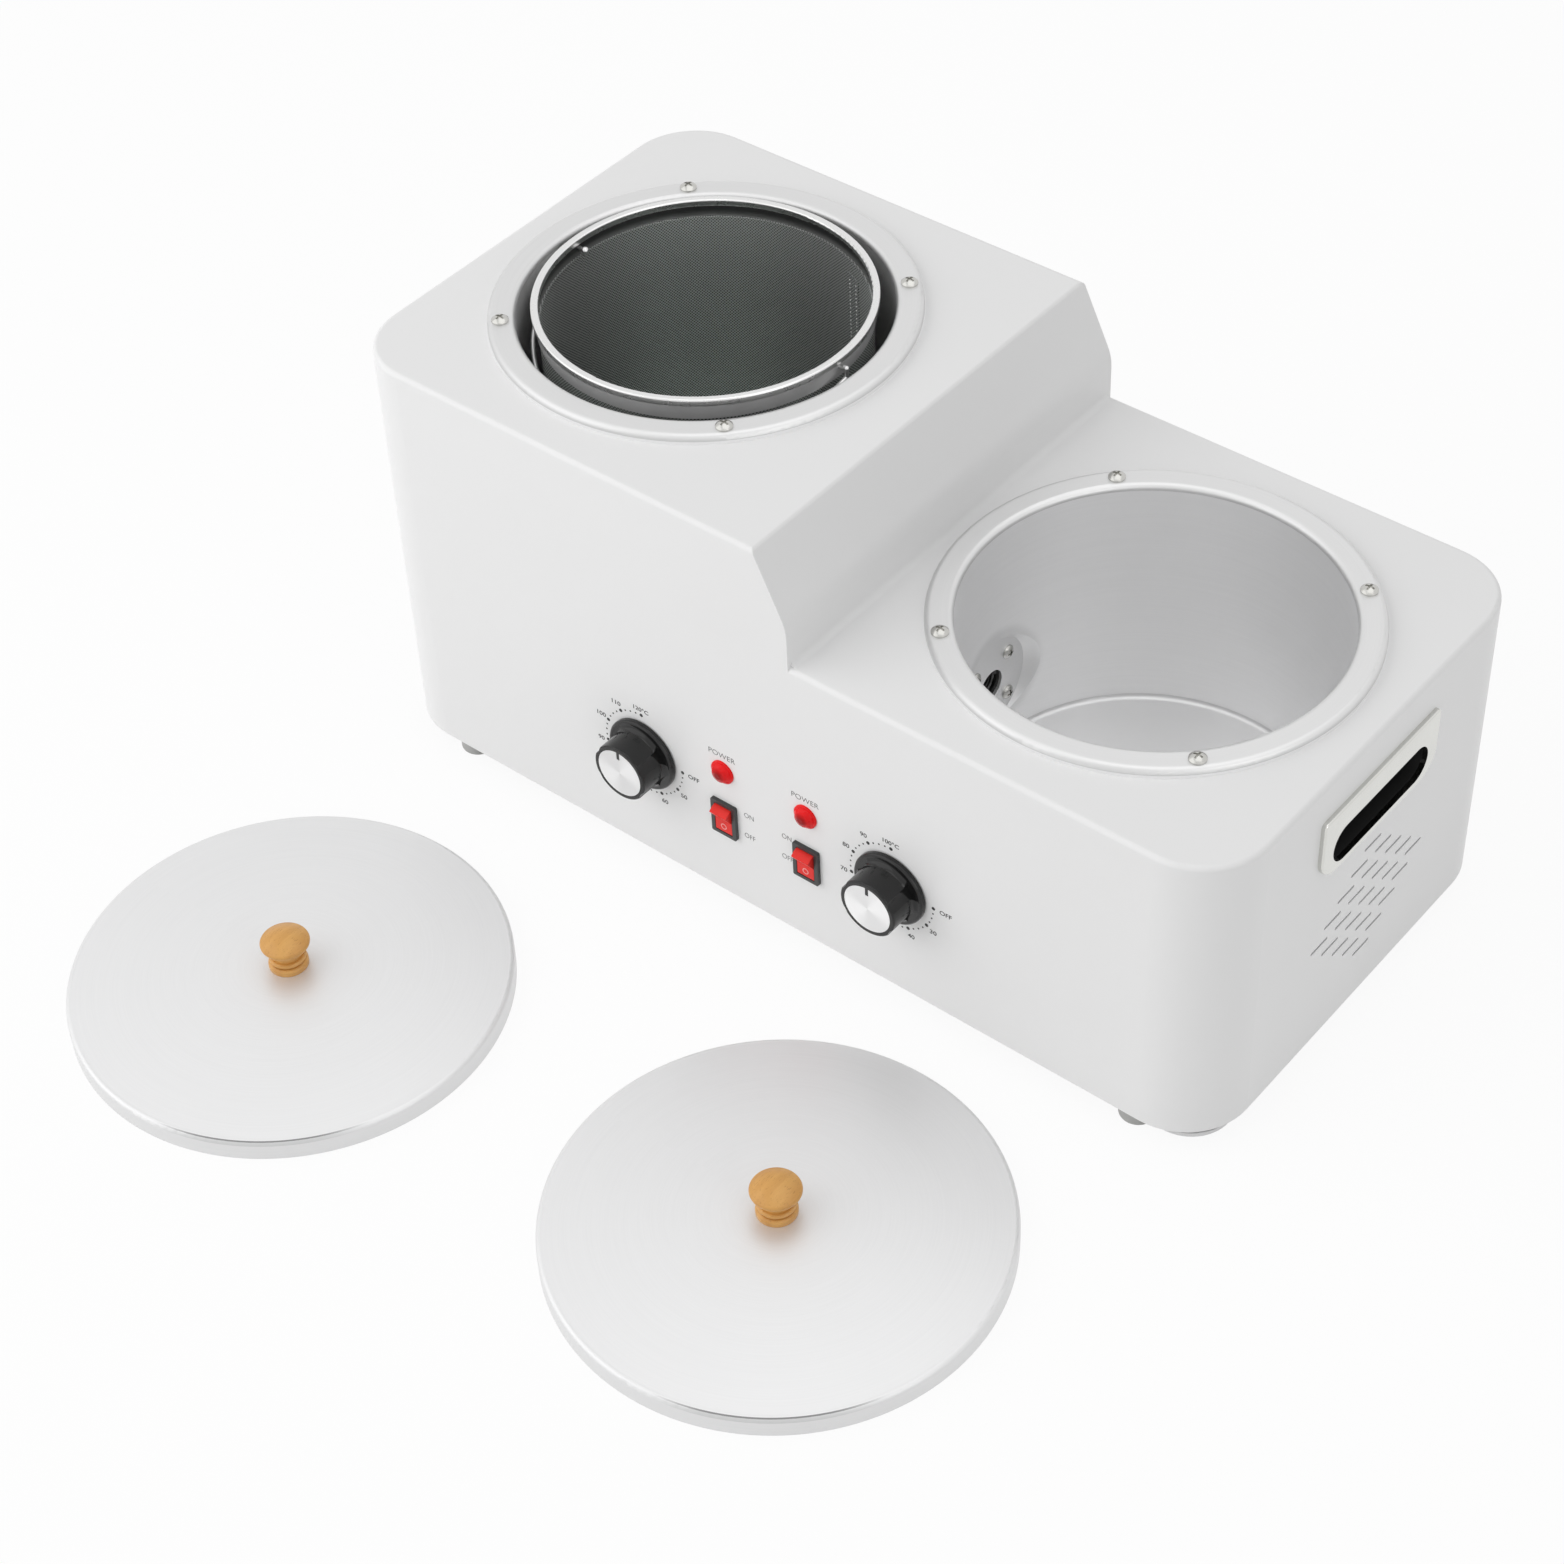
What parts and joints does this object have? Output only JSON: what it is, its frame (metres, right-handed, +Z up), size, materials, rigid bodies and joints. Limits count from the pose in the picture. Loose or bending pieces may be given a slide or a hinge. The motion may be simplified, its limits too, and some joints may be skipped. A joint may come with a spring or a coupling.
{
  "type": "double wax warmer",
  "caption": "Stepped table-top warmer with two heated round pots, a lift-out filter basket, a drain between the pots, loose lids, and a dial, lamp and rocker switch per pot.",
  "frame": {"origin": "on the table, under the middle of the casing", "axes": "+Z up, +X towards the low pot on the right, -Y out of the control panel"},
  "size_m": [0.5211, 0.5289, 0.2499],
  "materials": {
    "casing_paint": "white powder coat, satin",
    "base_paint": "light grey paint, satin",
    "screw_steel": "nickel-plated",
    "foot_rubber": "light grey, matt",
    "pot_aluminium": "satin anodised",
    "gasket_silicone": "moulded silicone",
    "heater_steel": "heat-tinted sheet",
    "insulation_felt": "needled felt",
    "drain_steel": "blackened, threaded bore",
    "mesh_steel": "fine woven mesh",
    "basket_polish": "polished wire and band",
    "lid_aluminium": "satin spun sheet",
    "knob_wood": "turned, clear varnish",
    "control_black": "glossy phenolic",
    "disc_silver": "radially spun",
    "shaft_steel": "turned",
    "thermostat_plastic": "heat-proof moulding",
    "sensor_copper": "drawn copper",
    "lens_red": "clear red, faceted",
    "lamp_black": "moulded",
    "switch_black": "fine moulded grain",
    "rocker_red": "smooth moulding",
    "terminal_brass": "stamped blades",
    "handle_chrome": "bright plating",
    "cup_black": "moulded",
    "inlet_black": "moulded"
  },
  "bodies": {
    "warmer": {"casing": "casing_paint", "base_plate": "base_paint", "base_screws": "screw_steel", "foot_front_left": "foot_rubber", "foot_front_right": "foot_rubber", "foot_back_left": "foot_rubber", "foot_back_right": "foot_rubber", "foot_screws": "screw_steel", "upper_pot": "pot_aluminium", "lower_pot": "pot_aluminium", "upper_pot_gasket": "gasket_silicone", "lower_pot_gasket": "gasket_silicone", "upper_pot_screws": "screw_steel", "lower_pot_screws": "screw_steel", "upper_heater_band": "heater_steel", "lower_heater_band": "heater_steel", "heater_clamp_screws": "screw_steel", "upper_insulation": "insulation_felt", "lower_insulation": "insulation_felt", "drain_tube": "drain_steel", "drain_gaskets": "gasket_silicone", "drain_screws": "screw_steel", "left_thermostat": "thermostat_plastic", "right_thermostat": "thermostat_plastic", "thermostat_screws": "screw_steel", "left_sensor": "sensor_copper", "right_sensor": "sensor_copper", "left_pilot_lens": "lens_red", "right_pilot_lens": "lens_red", "left_pilot_body": "lamp_black", "right_pilot_body": "lamp_black", "left_switch_housing": "switch_black", "right_switch_housing": "switch_black", "switch_terminals": "terminal_brass", "left_handle_bezel": "handle_chrome", "right_handle_bezel": "handle_chrome", "left_handle_cup": "cup_black", "right_handle_cup": "cup_black", "power_inlet": "inlet_black", "inlet_pins": "terminal_brass", "inlet_screws": "screw_steel", "terminal_block": "thermostat_plastic"},
    "left_knob": {"left_control_knob": "control_black", "left_knob_disc": "disc_silver", "left_thermostat_shaft": "shaft_steel"},
    "right_knob": {"right_control_knob": "control_black", "right_knob_disc": "disc_silver", "right_thermostat_shaft": "shaft_steel"},
    "left_rocker_switch": {"left_rocker": "rocker_red"},
    "right_rocker_switch": {"right_rocker": "rocker_red"},
    "left_cover": {"left_lid": "lid_aluminium", "left_lid_knob": "knob_wood", "left_lid_screw": "screw_steel"},
    "right_cover": {"right_lid": "lid_aluminium", "right_lid_knob": "knob_wood", "right_lid_screw": "screw_steel"},
    "basket": {"filter_basket": "mesh_steel", "basket_rim": "basket_polish", "basket_foot_ring": "basket_polish"},
    "bail": {"basket_bail": "basket_polish"}
  },
  "joints": [
    {"name": "left_knob_turn", "type": "hinge", "parent": "warmer", "child": "left_knob", "pos_m": [-0.075, -0.125, 0.0775], "axis": [0, -1, 0], "range_deg": [0, 270]},
    {"name": "right_knob_turn", "type": "hinge", "parent": "warmer", "child": "right_knob", "pos_m": [0.075, -0.125, 0.0775], "axis": [0, -1, 0], "range_deg": [0, 270]},
    {"name": "left_rocker_tip", "type": "hinge", "parent": "warmer", "child": "left_rocker_switch", "pos_m": [-0.025, -0.125, 0.063], "axis": [-1, 0, 0], "range_deg": [0, 34]},
    {"name": "right_rocker_tip", "type": "hinge", "parent": "warmer", "child": "right_rocker_switch", "pos_m": [0.025, -0.125, 0.063], "axis": [-1, 0, 0], "range_deg": [0, 34]},
    {"name": "left_lid_lift", "type": "slide", "parent": "warmer", "child": "left_cover", "axis": [0, 0, 1], "range_m": [0, 0.3]},
    {"name": "right_lid_lift", "type": "slide", "parent": "warmer", "child": "right_cover", "axis": [0, 0, 1], "range_m": [0, 0.3]},
    {"name": "basket_lift", "type": "slide", "parent": "warmer", "child": "basket", "axis": [0, 0, 1], "range_m": [0, 0.19]},
    {"name": "bail_swing", "type": "hinge", "parent": "basket", "child": "bail", "pos_m": [-0.13, 0, 0.2436], "axis": [-1, 0, 0], "range_deg": [0, 206]}
  ]
}
